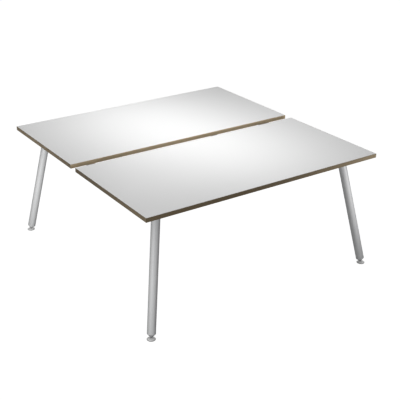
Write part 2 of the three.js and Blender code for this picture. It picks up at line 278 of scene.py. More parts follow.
def use_group(tree, group, **values):
    named = {key.title(): value for key, value in values.items()}
    return put(tree, "ShaderNodeGroup", named, node_tree=group).outputs


def swung(tree, value, amount, middle):
    # a value from 0 to 1 comes out as a swing of that amount round the middle
    centred = calc(tree, "SUBTRACT", value, 0.5)
    return calc(tree, "ADD", calc(tree, "MULTIPLY", centred, amount), middle)


print("group helpers ready")

# %% Fine grain
GRAIN_DETAIL = 3.0

grain, given, result, place = new_group(
    "fine_grain", {"Scale": 800.0, "Contrast": 0.06}, ("Height", "Shade")
)
pattern = {"Vector": place, "Scale": given["Scale"], "Detail": GRAIN_DETAIL}
noise = put(grain, "ShaderNodeTexNoise", pattern).outputs["Fac"]
shade = swung(grain, noise, given["Contrast"], 1.0)
fill(grain, result, {"Height": noise, "Shade": shade})
print("group:", grain.name)

# %% Touch marks
PATCH_DETAIL = 6.0
PATCH_LOW = 0.35
PATCH_HIGH = 0.7

touch, given, result, place = new_group(
    "touch_marks", {"Scale": 9.0, "Gloss": 0.4, "Swing": 0.08}, ("Roughness", "Mask")
)
pattern = {"Vector": place, "Scale": given["Scale"], "Detail": PATCH_DETAIL}
patches = put(touch, "ShaderNodeTexNoise", pattern).outputs["Fac"]
mask = spread(touch, patches, PATCH_LOW, PATCH_HIGH)
roughness = swung(touch, mask, given["Swing"], given["Gloss"])
fill(touch, result, {"Roughness": roughness, "Mask": mask})
print("group:", touch.name)

# %% [markdown]
# The rubbed edges compare the true normal with one that a Bevel node has rounded. The two differ
# only near an edge, so their difference is a mask of the edges. A noise breaks the mask up,
# because nothing is rubbed evenly.

# %% Rubbed edges
RUB_SAMPLES = 4
RUB_START = 0.02
RUB_FULL = 0.2
BREAK_SCALE = 60.0
BREAK_DETAIL = 4.0
BREAK_LOW = 0.35
BREAK_HIGH = 0.65

rub, given, result, place = new_group("rubbed_edges", {"Width": 0.001, "Amount": 0.5}, ("Mask",))
bevel = put(rub, "ShaderNodeBevel", {"Radius": given["Width"]}, samples=RUB_SAMPLES)
surface = put(rub, "ShaderNodeNewGeometry")
normals = (bevel.outputs["Normal"], surface.outputs["Normal"])
likeness = vector_calc(rub, "DOT_PRODUCT", *normals)["Value"]
edge = spread(rub, calc(rub, "SUBTRACT", 1.0, likeness), RUB_START, RUB_FULL)
pattern = {"Vector": place, "Scale": BREAK_SCALE, "Detail": BREAK_DETAIL}
uneven = put(rub, "ShaderNodeTexNoise", pattern).outputs["Fac"]
broken = calc(rub, "MULTIPLY", edge, spread(rub, uneven, BREAK_LOW, BREAK_HIGH))
fill(rub, result, {"Mask": calc(rub, "MULTIPLY", broken, given["Amount"])})
print("group:", rub.name)

# %% Flakes
flakes, given, result, place = new_group(
    "flakes", {"Scale": 3000.0, "Contrast": 0.1}, ("Shade", "Tilt")
)
cells = put(flakes, "ShaderNodeTexVoronoi", {"Vector": place, "Scale": given["Scale"]})
picked = put(flakes, "ShaderNodeSeparateColor", {"Color": cells.outputs["Color"]}).outputs
shade = swung(flakes, picked["Red"], given["Contrast"], 1.0)
fill(flakes, result, {"Shade": shade, "Tilt": picked["Green"]})
print("group:", flakes.name)

# %% [markdown]
# ## White laminate
# The tops are chipboard faced with white melamine, which is pressed with a very fine pearl
# texture and has a satin gloss. A plain white would look like paper, so the grain bends the
# highlight a little, and faint touch marks change the gloss from place to place.

# %% White laminate material
WHITE = (0.86, 0.862, 0.86, 1.0)
HANDLED = 0.992


def new_finish(name):
    made = bpy.data.materials.new(name)
    made.use_nodes = True
    tree = made.node_tree
    return made, tree, tree.nodes["Principled BSDF"]


def bumped(tree, height, strength, distance):
    values = {"Height": height, "Strength": strength, "Distance": distance}
    return put(tree, "ShaderNodeBump", values).outputs["Normal"]


white_laminate, tree, shader = new_finish("white_laminate")
pearl = use_group(tree, grain, scale=1100.0, contrast=0.02)
marks = use_group(tree, touch, scale=4.0, gloss=0.38, swing=0.06)
pressed = shaded(tree, WHITE, pearl["Shade"])
fill(tree, shader, {
    "Base Color": shaded(tree, pressed, between(tree, marks["Mask"], HANDLED, 1.0)),
    "Roughness": marks["Roughness"],
    "Normal": bumped(tree, pearl["Height"], strength=0.05, distance=0.2 * MM),
    "Specular IOR Level": 0.35,
})
print("material:", white_laminate.name)

# %% [markdown]
# ## Ply edge
# The edge bands are printed to look like plywood: thin veneers of two tones, with dark glue
# lines between them. Height above the underside picks the veneer, and every second veneer
# shows long grain, the others end grain. X plus Y runs along every band, because one of the
# two stays constant on each, so one network serves all eight. The noises are stretched along
# the band and up it, and the number of the veneer makes each one different.

# %% Ply pattern
VENEERS = 11
GLUE_START = 0.40
GLUE_FULL = 0.49
FIBRE_SHARE = 0.6
board_low, board_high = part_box("front_top_board")


def ply_noise(tree, spot, along, up, detail):
    stretched = {
        "X": calc(tree, "MULTIPLY", spot["along"], along),
        "Y": calc(tree, "MULTIPLY", spot["up"], up),
        "Z": spot["veneer"],
    }
    vector = put(tree, "ShaderNodeCombineXYZ", stretched).outputs["Vector"]
    values = {"Vector": vector, "Scale": 1.0, "Detail": detail}
    return put(tree, "ShaderNodeTexNoise", values).outputs["Fac"]


def ply_pattern(tree):
    place = put(tree, "ShaderNodeTexCoord").outputs["Object"]
    axes = put(tree, "ShaderNodeSeparateXYZ", {"Vector": place}).outputs
    layer = spread(tree, axes["Z"], board_low.z, board_high.z, 0.0, VENEERS)
    veneer = calc(tree, "FLOOR", layer)
    off_middle = calc(tree, "SUBTRACT", calc(tree, "FRACT", layer), 0.5)
    glue = spread(tree, calc(tree, "ABSOLUTE", off_middle), GLUE_START, GLUE_FULL)
    spot = {"along": calc(tree, "ADD", axes["X"], axes["Y"]), "up": axes["Z"], "veneer": veneer}
    long_grain = ply_noise(tree, spot, along=9.0, up=1500.0, detail=4.0)
    end_grain = ply_noise(tree, spot, along=700.0, up=900.0, detail=2.0)
    slow_tone = ply_noise(tree, spot, along=2.2, up=0.0, detail=2.0)
    fibre = between(tree, calc(tree, "MODULO", veneer, 2.0), long_grain, end_grain)
    fine = calc(tree, "MULTIPLY", fibre, FIBRE_SHARE)
    slow = calc(tree, "MULTIPLY", slow_tone, 1 - FIBRE_SHARE)
    return layer, glue, fibre, calc(tree, "ADD", fine, slow)


print(VENEERS, "veneers of", round((board_high.z - board_low.z) / VENEERS / MM, 2), "mm")

# %% [markdown]
# The bands inside the gap get paler tones, a painted light for the lamp light that falls into
# the gap, and they turn darker low down, a painted shade deep in the slot between the boards.
# So the tones and that low shade are inputs of the finish.

# %% Ply edge materials
GLUE_DARKNESS = 0.7
TONE_LOW = 0.3
TONE_HIGH = 0.7
LOW_SHADE_REACH = 0.8


def ply_finish(name, pale, dark, glue_line, low_painted_shade):
    made, tree, shader = new_finish(name)
    layer, glue, fibre, tone = ply_pattern(tree)
    veneer = mixed(tree, spread(tree, tone, TONE_LOW, TONE_HIGH), dark, pale)
    lined = mixed(tree, calc(tree, "MULTIPLY", glue, GLUE_DARKNESS), veneer, glue_line)
    # painted shade: the band turns darker low down in the gap
    low_shade = spread(tree, layer, 0.0, VENEERS * LOW_SHADE_REACH, low_painted_shade, 0.0)
    low_shaded = mixed(tree, low_shade, lined, glue_line)
    rubbed = use_group(tree, rub, width=0.8 * MM, amount=0.25)
    marks = use_group(tree, touch, scale=14.0, gloss=0.5, swing=0.1)
    relief = calc(tree, "SUBTRACT", fibre, glue)
    fill(tree, shader, {
        "Base Color": mixed(tree, rubbed["Mask"], low_shaded, pale),
        "Roughness": marks["Roughness"],
        "Normal": bumped(tree, relief, strength=0.25, distance=0.1 * MM),
        "Specular IOR Level": 0.1,
    })
    return made


ply_edge = ply_finish(
    "ply_edge",
    pale=(0.262, 0.202, 0.126, 1.0),
    dark=(0.173, 0.133, 0.079, 1.0),
    glue_line=(0.089, 0.063, 0.034, 1.0),
    low_painted_shade=0.0,
)
# paler tones here are painted light: a lit copy of the ply edge for the bands in the gap
ply_edge_painted_light = ply_finish(
    "ply_edge_painted_light",
    pale=(0.86, 0.70, 0.48, 1.0),
    dark=(0.58, 0.465, 0.30, 1.0),
    glue_line=(0.30, 0.22, 0.13, 1.0),
    low_painted_shade=0.7,
)
print("materials:", ply_edge.name, ply_edge_painted_light.name)

# %% [markdown]
# ## Silver powder coat
# Legs, tips, rails and beams are steel under a silver powder coat. It is a paint, so it
# scatters light like one, with fine metal flakes in it and the slight orange peel that baked
# powder has. Some metallic share makes the flakes catch the light. Flakes lie flat in the
# coat, so paint like this turns darker where it is seen edge on, which painters call flop.
# Here that darkening goes much further than flop, as painted shade along the outline of the
# legs.

# %% Silver powder coat material
SILVER = (0.68, 0.685, 0.69, 1.0)
FLOP_AND_PAINTED_SHADE = (0.26, 0.262, 0.265, 1.0)
FLOP_SHADE_START = 0.12
FLOP_SHADE_FULL = 0.85
FLOP_SHADE_SHARE = 0.85
BARE_STEEL = (0.74, 0.745, 0.75, 1.0)

silver_paint, tree, shader = new_finish("silver_paint")
peel = use_group(tree, grain, scale=620.0, contrast=0.05)
sparkle = use_group(tree, flakes, scale=3200.0, contrast=0.16)
marks = use_group(tree, touch, scale=11.0, gloss=0.5, swing=0.1)
rubbed = use_group(tree, rub, width=1.2 * MM, amount=0.35)
flaked = shaded(tree, SILVER, sparkle["Shade"])
peeled = shaded(tree, flaked, peel["Shade"])
# edge-on darkening: partly the flop of the flakes, partly painted shade on the outline of the legs
edge_on = put(tree, "ShaderNodeLayerWeight", {"Blend": 0.5}).outputs["Facing"]
flop_and_painted_shade = spread(tree, edge_on, FLOP_SHADE_START, FLOP_SHADE_FULL, 0.0, FLOP_SHADE_SHARE)
flop_and_shade_painted = mixed(tree, flop_and_painted_shade, peeled, FLOP_AND_PAINTED_SHADE)
fill(tree, shader, {
    "Base Color": mixed(tree, rubbed["Mask"], flop_and_shade_painted, BARE_STEEL),
    "Roughness": marks["Roughness"],
    "Metallic": between(tree, sparkle["Tilt"], low=0.0, high=0.06),
    "Normal": bumped(tree, peel["Height"], strength=0.12, distance=0.2 * MM),
    "Specular IOR Level": 0.2,
})
print("material:", silver_paint.name)

# %% [markdown]
# ## Cast aluminium
# The leg heads are die castings with a thinner silver coat. Castings keep the skin of the
# mould: shallow flow marks and a slightly pebbled surface, brighter where edges were fettled.

# %% Cast aluminium material
CAST = (0.52, 0.525, 0.53, 1.0)
FETTLED = (0.70, 0.705, 0.71, 1.0)

cast_metal, tree, shader = new_finish("cast_metal")
skin = use_group(tree, grain, scale=420.0, contrast=0.14)
flow = use_group(tree, touch, scale=30.0, gloss=0.5, swing=0.16)
rubbed = use_group(tree, rub, width=1.5 * MM, amount=0.6)
moulded = shaded(tree, CAST, skin["Shade"])
fill(tree, shader, {
    "Base Color": mixed(tree, rubbed["Mask"], moulded, FETTLED),
    "Roughness": flow["Roughness"],
    "Metallic": between(tree, flow["Mask"], low=0.45, high=0.6),
    "Normal": bumped(tree, skin["Height"], strength=0.3, distance=0.3 * MM),
})
print("material:", cast_metal.name)

# %% [markdown]
# ## Zinc plated steel
# Screws and bolts are zinc plated: a bright grey with patches of faint blue and straw,
# which come from the passivation that follows the plating.

# %% Zinc material
ZINC = (0.60, 0.615, 0.64, 1.0)
STRAW = (0.66, 0.63, 0.55, 1.0)

zinc_steel, tree, shader = new_finish("zinc_steel")
spangle = use_group(tree, flakes, scale=900.0, contrast=0.12)
tint = use_group(tree, touch, scale=160.0, gloss=0.32, swing=0.14)
rubbed = use_group(tree, rub, width=0.4 * MM, amount=0.5)
scratch = use_group(tree, grain, scale=2500.0, contrast=0.1)
plated = shaded(tree, mixed(tree, tint["Mask"], ZINC, STRAW), spangle["Shade"])
fill(tree, shader, {
    "Base Color": mixed(tree, rubbed["Mask"], plated, FETTLED),
    "Roughness": tint["Roughness"],
    "Metallic": 0.85,
    "Normal": bumped(tree, scratch["Height"], strength=0.08, distance=0.05 * MM),
})
print("material:", zinc_steel.name)

# %% [markdown]
# ## Satin nickel pads
# The pads of the feet are turned on a lathe, blasted and nickel plated: fine rings run round
# them, and the blasted skin scatters light more than it mirrors. The rim is painted much darker
# than the top, as painted shade for its dark outline. All four feet stand at the same distance
# from the middle, so the absolute values of X and Y, less the place of one foot, give the
# distance to the centre of whichever pad is shaded. That distance places the rings and the
# painted dark rim.

# %% Distance from the centre of a pad
pad_low, pad_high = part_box("rear_right_foot_pad")
pad_centre = (pad_low + pad_high) / 2


def pad_distance(tree):
    place = put(tree, "ShaderNodeTexCoord").outputs["Object"]
    folded = vector_calc(tree, "ABSOLUTE", place)["Vector"]
    foot = (pad_centre.x, pad_centre.y, 0.0)
    offset = vector_calc(tree, "SUBTRACT", folded, foot)["Vector"]
    level = vector_calc(tree, "MULTIPLY", offset, (1, 1, 0))["Vector"]
    return vector_calc(tree, "LENGTH", level)["Value"]


print("pad at", tuple(round(v, 3) for v in pad_centre))

# %% Satin nickel material
NICKEL = (0.90, 0.90, 0.895, 1.0)
DULL_NICKEL = (0.82, 0.82, 0.815, 1.0)
RIM_PAINTED_SHADE = (0.31, 0.31, 0.31, 1.0)
RIM_WIDTH = 3.5 * MM
RIM_FADE = 3.0 * MM
RINGS_PER_METRE = 2600.0
rim_start = (pad_high.x - pad_low.x) / 2 - RIM_WIDTH

foot_metal, tree, shader = new_finish("foot_metal")
radius = pad_distance(tree)
turns = {"W": calc(tree, "MULTIPLY", radius, RINGS_PER_METRE), "Scale": 1.0}
rings = put(tree, "ShaderNodeTexNoise", turns, noise_dimensions="1D").outputs["Fac"]
tooled = mixed(tree, rings, DULL_NICKEL, NICKEL)
# painted shade: the outer rim of the pad is darker than its top
rim = spread(tree, radius, rim_start, rim_start + RIM_FADE)
rim_shaded = mixed(tree, rim, tooled, RIM_PAINTED_SHADE)
rubbed = use_group(tree, rub, width=0.6 * MM, amount=0.4)
marks = use_group(tree, touch, scale=70.0, gloss=0.45, swing=0.12)
fill(tree, shader, {
    "Base Color": mixed(tree, rubbed["Mask"], rim_shaded, FETTLED),
    "Roughness": marks["Roughness"],
    "Metallic": 0.08,
    "Normal": bumped(tree, rings, strength=0.15, distance=0.05 * MM),
    "Specular IOR Level": 0.1,
})
print("material:", foot_metal.name, "with a rim from", round(rim_start / MM, 1), "mm")

# %% [markdown]
# ## Black oxide steel
# The stems of the feet show as a dark neck between the cone and the pad. They are steel with a
# black oxide skin, thin and slightly oily, which turns brown grey where a spanner or the
# thread has rubbed it. Their very dark tone is also painted shade for the shade under the cone.

# %% Black oxide material
OXIDE_AND_PAINTED_SHADE = (0.085, 0.085, 0.09, 1.0)
RUBBED_OXIDE = (0.17, 0.165, 0.16, 1.0)

dark_steel, tree, shader = new_finish("dark_steel")
oily = use_group(tree, touch, scale=240.0, gloss=0.42, swing=0.2)
pitted = use_group(tree, grain, scale=2200.0, contrast=0.25)
rubbed = use_group(tree, rub, width=0.3 * MM, amount=0.6)
# black oxide, made very dark also as painted shade for the neck under the cone
blackened_and_shaded = shaded(tree, OXIDE_AND_PAINTED_SHADE, pitted["Shade"])
fill(tree, shader, {
    "Base Color": mixed(tree, rubbed["Mask"], blackened_and_shaded, RUBBED_OXIDE),
    "Roughness": oily["Roughness"],
    "Metallic": between(tree, oily["Mask"], low=0.3, high=0.5),
    "Normal": bumped(tree, pitted["Height"], strength=0.1, distance=0.05 * MM),
})
print("material:", dark_steel.name)

# %% [markdown]
# ## Light grey nylon
# The ball in each pad is moulded in light grey nylon, with a fine eroded texture and a dull
# gloss, and it turns darker where the socket rubs it.

# %% Light grey nylon material
NYLON = (0.60, 0.60, 0.59, 1.0)
RUBBED_NYLON = (0.50, 0.50, 0.495, 1.0)

grey_nylon, tree, shader = new_finish("grey_nylon")
eroded = use_group(tree, grain, scale=2600.0, contrast=0.12)
marks = use_group(tree, touch, scale=220.0, gloss=0.5, swing=0.16)
worn = mixed(tree, marks["Mask"], NYLON, RUBBED_NYLON)
fill(tree, shader, {
    "Base Color": shaded(tree, worn, eroded["Shade"]),
    "Roughness": marks["Roughness"],
    "Normal": bumped(tree, eroded["Height"], strength=0.2, distance=0.05 * MM),
})
print("material:", grey_nylon.name)

# %% [markdown]
# ## Boards, bands, rails and beams
# These are flat sheets and straight tubes whose CAD solids already have the right shape, down
# to the rounded arrises of the bands. They stay as they are and only receive their material.

# %% Dress the CAD nodes
TOPS = ("front", "rear")


def dress(node, material):
    slots = frame["nodes"][node].data.materials
    slots.clear()
    slots.append(material)


for top in TOPS:
    dress(f"{top}_top_board", white_laminate)
    dress(f"{top}_beam", silver_paint)
    for side in ("outer", "left", "right"):
        dress(f"{top}_top_{side}_edge_band", ply_edge)
    dress(f"{top}_top_gap_edge_band", ply_edge_painted_light)
for side in ("left", "right"):
    dress(f"{side}_cross_rail", silver_paint)
print("dressed 2 boards, 8 bands, 2 beams and 2 rails")

# %% [markdown]
# ## Turning
# Tubes, tips, feet and fasteners are all turned parts. A profile is a list of radius and height,
# and one helper spins it round Z. The Screw modifier does that too, but a helper can also let a
# ring follow a hexagon or a thread, by its shape function. Another helper rounds the corners of
# a profile, because a real edge always has a small radius that catches the light.

# %% Round the corners of a profile
ROUND_STEPS = 4
LONGEST_CUT = 0.45


def softened(profile, radius, closed=False):
    rows = []
    count = len(profile)
    for index, point in enumerate(profile):
        if not closed and index in (0, count - 1):
            rows.append(tuple(point))
            continue
        here = Vector(point)
        before = Vector(profile[index - 1]) - here
        after = Vector(profile[(index + 1) % count]) - here
        cut = min(radius, before.length * LONGEST_CUT, after.length * LONGEST_CUT)
        start = here + before.normalized() * cut
        end = here + after.normalized() * cut
        for step in range(ROUND_STEPS + 1):
            share = step / ROUND_STEPS
            near = start.lerp(here, share)
            far = here.lerp(end, share)
            rows.append(tuple(near.lerp(far, share)))
    return rows


print("corners are rounded in", ROUND_STEPS, "steps")

# %% Spin a profile
POLE = 1e-7


def spun(profile, sides, closed=False, shape=None):
    made = bmesh.new()
    rings = []
    for radius, height in profile:
        if radius < POLE:
            rings.append([made.verts.new((0, 0, height))])
            continue
        ring = []
        for step in range(sides):
            angle = 2 * math.pi * step / sides
            reach = shape(radius, height, angle) if shape else radius
            ring.append(made.verts.new((reach * math.cos(angle), reach * math.sin(angle), height)))
        rings.append(ring)
    if closed:
        rings.append(rings[0])
    for low, high in zip(rings, rings[1:]):
        for step in range(sides):
            after = (step + 1) % sides
            quad = [low[step % len(low)], low[after % len(low)]]
            quad += [high[after % len(high)], high[step % len(high)]]
            # a ring of one point leaves a point twice in the quad, which then becomes a triangle
            made.faces.new(list(dict.fromkeys(quad)))
    return made


def stand(made, origin, axis):
    turn = axis.to_track_quat("Z", "Y").to_matrix().to_4x4()
    made.transform(Matrix.Translation(origin) @ turn)
    return made


print("turning helpers ready")

# %% [markdown]
# ## Placing
# Each new mesh becomes an object. It has to be told which body of the desk it rides on, so that
# it moves with the joints, which finish its slot names, and which CAD node it replaces. Faces
# that meet at less than 40 degrees are shaded as one smooth surface, the others keep an edge.

# %% Place a piece
SMOOTH_ANGLE = 40


def place_piece(name, made, material, body, stands_for=()):
    bmesh.ops.recalc_face_normals(made, faces=made.faces)
    mesh = bpy.data.meshes.new(name)
    made.to_mesh(mesh)
    made.free()
    mesh.materials.append(material)
    mesh.shade_smooth()
    mesh.set_sharp_from_angle(angle=math.radians(SMOOTH_ANGLE))
    piece = bpy.data.objects.new(name, mesh)
    bpy.context.scene.collection.objects.link(piece)
    if stands_for:
        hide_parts(*stands_for)
    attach(piece, body)
    return piece


print("edges stay sharp from", SMOOTH_ANGLE, "degrees")

# %% [markdown]
# ## Leg axes
# Each leg leans along both sides of the desk. The joint of its foot tells where the axis runs:
# the centre of the ball, and the direction in which the stem screws out. Distances along that
# axis and away from it are then read from the CAD vertices, so nothing is measured twice. The
# four legs are mirror images, so one of them gives the measures of all.

# %% Leg axes
CORNERS = ("front_left", "front_right", "rear_left", "rear_right")
UP = Vector((0, 0, 1))
# measures are rounded to a hundredth of a millimetre
DIGITS = 5

legs = {}
joints = {joint["name"]: joint for joint in frame["joints"]}
for corner in CORNERS:
    stem_turn = joints[f"{corner}_stem_turn"]
    legs[corner] = (Vector(stem_turn["pos_m"]), -Vector(stem_turn["axis"]).normalized())


def rings_of(node, origin, axis):
    found = set()
    for vertex in frame["nodes"][node].data.vertices:
        reach = vertex.co - origin
        height = reach.dot(axis)
        radius = (reach - axis * height).length
        found.add((round(radius, DIGITS), round(height, DIGITS)))
    return sorted(found, key=lambda ring: (ring[1], ring[0]))


lean = legs["front_left"][1].angle(UP)
print("each leg leans", round(math.degrees(lean), 2), "degrees")

# %% [markdown]
# ## Leg tubes and tips
# A leg is a 50 mm tube with a conical tip pushed into its lower end. The CAD tube has 32 flat
# sides. This one has enough to look round in the outline, and the saw cuts at its ends and the
# rims of the cone are slightly rounded, which gives the thin bright and dark lines at the joint.

# %% Tube profile
SAWN_EDGE = 0.5 * MM

rows = rings_of("front_left_leg_tube", *legs["front_left"])
tube_bore = min(radius for radius, height in rows)
tube_radius = max(radius for radius, height in rows)
tube_start = rows[0][1]
tube_end = rows[-1][1]
tube_wall = [(tube_bore, tube_start), (tube_radius, tube_start)]
tube_wall += [(tube_radius, tube_end), (tube_bore, tube_end)]
print("tube", round(2 * tube_radius / MM, 1), "mm, bore", round(2 * tube_bore / MM, 1), "mm")

# %% Tip profile
CAST_EDGE = 0.8 * MM

rows = rings_of("front_left_leg_tip", *legs["front_left"])
tip_bore = min(radius for radius, height in rows)
tip_start = rows[0][1]
tip_end = rows[-1][1]
shoulder = max(rows)[1]
nose_radius = max(radius for radius, height in rows if height == tip_start)
plug_radius = max(radius for radius, height in rows if height == tip_end)
tip_wall = [(tip_bore, tip_start), (nose_radius, tip_start), (tube_radius, shoulder)]
tip_wall += [(plug_radius, shoulder), (plug_radius, tip_end), (tip_bore, tip_end)]
print("cone", round((shoulder - tip_start) / MM, 1), "mm long")

# %% Place the legs
LEG_SIDES = 72

for corner in CORNERS:
    made = stand(spun(softened(tube_wall, SAWN_EDGE, True), LEG_SIDES, True), *legs[corner])
    node = f"{corner}_leg_tube"
    place_piece(f"{corner}_round_leg", made, silver_paint, "desk", [node])

    made = stand(spun(softened(tip_wall, CAST_EDGE, True), LEG_SIDES, True), *legs[corner])
    node = f"{corner}_leg_tip"
    place_piece(f"{corner}_cone_tip", made, silver_paint, "desk", [node])
print("4 tubes and 4 tips of", LEG_SIDES, "sides")

# %% [markdown]
# ## Threaded stems
# A stem screws in and out of the tip, so its thread has to show when the foot is let down. A
# modelled thread is a grid of rings whose radius rises and falls once in a turn: the height
# plus the share of the turn says where in the groove a point lies. The pitch is the one that
# couples the turning of the stem to its travel. Below it sit the hexagon for the spanner, with
# its corners chamfered as on any nut, and the thin neck that enters the ball.

# %% Stem measures
rows = rings_of("front_left_foot_stem", *legs["front_left"])
stem_low = rows[0][1]
stem_end = rows[-1][1]
neck = max(radius for radius, height in rows if height == stem_low)
hex_corner = max(radius for radius, height in rows)
hex_heights = [height for radius, height in rows if radius == hex_corner]
hex_start = min(hex_heights)
hex_end = max(hex_heights)
half_flat = hex_corner * math.cos(math.pi / 6)
thread = max(radius for radius, height in rows if height > hex_end + MM)
pitch = 2 * math.pi / frame["record"]["behaviour"]["couplings"][0]["ratio"]
print("thread", round(2 * thread / MM, 2), "mm, pitch", round(pitch / MM, 3), "mm")

# %% Stem shape
# depth of the thread as a share of its pitch, and slope of a chamfer of 30 degrees
THREAD_DEPTH = 0.61
HEX_CHAMFER = 1.73


def hexagon(across_half, angle):
    turned = angle % (math.pi / 3) - math.pi / 6
    return across_half / math.cos(turned)


def stem_shape(radius, height, angle):
    if radius == hex_corner:
        face = min(height - hex_start, hex_end - height)
        return min(hexagon(half_flat, angle), half_flat + HEX_CHAMFER * face)
    if radius == thread:
        groove = (height / pitch + angle / (2 * math.pi)) % 1.0
        depth = pitch * THREAD_DEPTH * abs(2 * groove - 1)
        taper = max(0.0, height - (stem_end - pitch))
        return thread - max(depth, taper)
    return radius


print("thread", round(pitch * THREAD_DEPTH / MM, 2), "mm deep")

# %% Threaded stems
STEM_SIDES = 36
HEX_STEPS = 6
RINGS_PER_PITCH = 8

stem_profile = [(0.0, stem_low), (neck, stem_low), (neck, hex_start)]
for step in range(HEX_STEPS + 1):
    stem_profile.append((hex_corner, hex_start + (hex_end - hex_start) * step / HEX_STEPS))
thread_rings = int((stem_end - hex_end) / pitch * RINGS_PER_PITCH)
for step in range(thread_rings + 1):
    stem_profile.append((thread, hex_end + (stem_end - hex_end) * step / thread_rings))
stem_profile.append((0.0, stem_end))

for corner in CORNERS:
    made = stand(spun(stem_profile, STEM_SIDES, shape=stem_shape), *legs[corner])
    node = f"{corner}_foot_stem"
    place_piece(f"{corner}_threaded_stem", made, dark_steel, f"{corner}_stem", [node])
print("4 stems with", thread_rings, "rings of thread")

# %% [markdown]
# ## Balls
# The ball lets the pad lie flat while the leg leans. A moulded ball shows a thin parting line
# where the halves of the mould met, and a bored seat for the neck of the stem.

# %% Balls
BALL_SIDES = 40
BALL_STEPS = 24
PARTING = 0.06 * MM
PARTING_STEPS = 3
SEAT_GAP = 0.3 * MM

rows = rings_of("front_left_foot_ball", *legs["front_left"])
ball = max(math.hypot(radius, height) for radius, height in rows)
seat_radius = neck + SEAT_GAP
seat_floor = stem_low - SEAT_GAP
rim_angle = math.acos(seat_radius / ball)
ball_profile = []
for step in range(BALL_STEPS + 1):
    angle = -math.pi / 2 + (rim_angle + math.pi / 2) * step / BALL_STEPS
    parted = ball - PARTING * min(1.0, abs(angle) * BALL_STEPS / PARTING_STEPS)
    ball_profile.append((max(0.0, parted * math.cos(angle)), parted * math.sin(angle)))
ball_profile[0] = (0.0, -ball + PARTING)
ball_profile += [(seat_radius, seat_floor), (0.0, seat_floor)]

for corner in CORNERS:
    made = stand(spun(ball_profile, BALL_SIDES), *legs[corner])
    node = f"{corner}_foot_ball"
    place_piece(f"{corner}_nylon_ball", made, grey_nylon, f"{corner}_ball", [node])
print("ball", round(2 * ball / MM, 2), "mm")

# %% [markdown]
# ## Pads
# A pad is a thin turned saucer: a low rim, a gently domed top that rises to the mouth of the
# socket, and a socket that wraps over the equator of the ball. Radius, height and mouth come
# from the CAD solid. The dome is a smooth curve, up to 2 mm fuller than the flat faces of the
# solid, because that fits the pads in the photo better.

# %% Pad measures
LIP_SHARE = 0.9

rows = rings_of("rear_right_foot_pad", Vector((pad_centre.x, pad_centre.y, 0)), UP)
pad_radius = max(radius for radius, height in rows)
pad_top = rows[-1][1]
mouth = min(radius for radius, height in rows if height == pad_top)
ball_height = legs["rear_right"][0].z
socket = ball + SEAT_GAP
lip_angle = math.asin((pad_top - ball_height) / socket) * LIP_SHARE
print("pad", round(2 * pad_radius / MM, 1), "mm wide and", round(pad_top / MM, 1), "mm high")

# %% Pads
PAD_SIDES = 72
PAD_EDGE = 0.3 * MM
RIM_HEIGHT = 3.6 * MM
RIM_EDGE = 0.9 * MM
DOME_STEPS = 10
DOME_BULGE = 1.6 * MM
MOUTH_WALL = 2.5 * MM
SOCKET_STEPS = 10

rim_top = pad_radius - RIM_EDGE
crown = mouth + MOUTH_WALL
pad_profile = [(0.0, 0.0), (rim_top, 0.0), (pad_radius, RIM_EDGE)]
pad_profile.append((pad_radius, RIM_HEIGHT - RIM_EDGE))
for step in range(DOME_STEPS + 1):
    share = step / DOME_STEPS
    rise = RIM_HEIGHT + (pad_top - RIM_HEIGHT) * share
    bulge = DOME_BULGE * math.sin(math.pi * share)
    pad_profile.append((rim_top + (crown - rim_top) * share, rise + bulge))
pad_profile.append((mouth, pad_top))
for step in range(SOCKET_STEPS):
    angle = lip_angle - (lip_angle + math.pi / 2) * step / SOCKET_STEPS
    pad_profile.append((socket * math.cos(angle), ball_height + socket * math.sin(angle)))
pad_profile.append((0.0, ball_height - socket))
pad_profile = softened(pad_profile, PAD_EDGE)

for corner in CORNERS:
    foot = legs[corner][0]
    made = stand(spun(pad_profile, PAD_SIDES), Vector((foot.x, foot.y, 0)), UP)
    node = f"{corner}_foot_pad"
    place_piece(f"{corner}_saucer_pad", made, foot_metal, f"{corner}_pad", [node])
print("4 pads of", len(pad_profile), "rings")

# %% [markdown]
# ## Leg heads
# Under each corner of the tops sits a casting: a flange against the board, a boss and plug for
# the leg tube, and a neck with a spigot for the cross rail. Castings have soft fillets wherever
# two forms meet. Joining the plain forms with a voxel remesh and then smoothing the skin gives
# those fillets everywhere at once, which bevels on a boolean joint seldom do. First come the
# plain forms: a block, a plate with round corners, and a round bar that leans with the leg and
# is cut off level with the board.

# %% Plain forms
FORM_SIDES = 48
BLOCK_FACES = [(0, 1, 3, 2), (4, 6, 7, 5), (0, 4, 5, 1)]
BLOCK_FACES += [(2, 3, 7, 6), (0, 2, 6, 4), (1, 5, 7, 3)]


def block(made, low, high):
    corners = []
    for x in (low.x, high.x):
        for y in (low.y, high.y):
            for z in (low.z, high.z):
                corners.append(made.verts.new((x, y, z)))
    for face in BLOCK_FACES:
        made.faces.new([corners[index] for index in face])


def rounded_plate(size, corner, low, high):
    form = bmesh.new()
    outline = []
    inner = size / 2 - corner
    for turn in range(4):
        side = math.pi / 2 * turn + math.pi / 4
        for step in range(ROUND_STEPS + 1):
            angle = math.pi / 2 * (turn + step / ROUND_STEPS)
            x = math.copysign(inner, math.cos(side)) + corner * math.cos(angle)
            y = math.copysign(inner, math.sin(side)) + corner * math.sin(angle)
            outline.append((x, y))
    bottom = form.faces.new([form.verts.new((x, y, low)) for x, y in outline])
    lifted = bmesh.ops.extrude_face_region(form, geom=[bottom])["geom"]
    for vertex in lifted:
        if isinstance(vertex, bmesh.types.BMVert):
            vertex.co.z = high
    return form


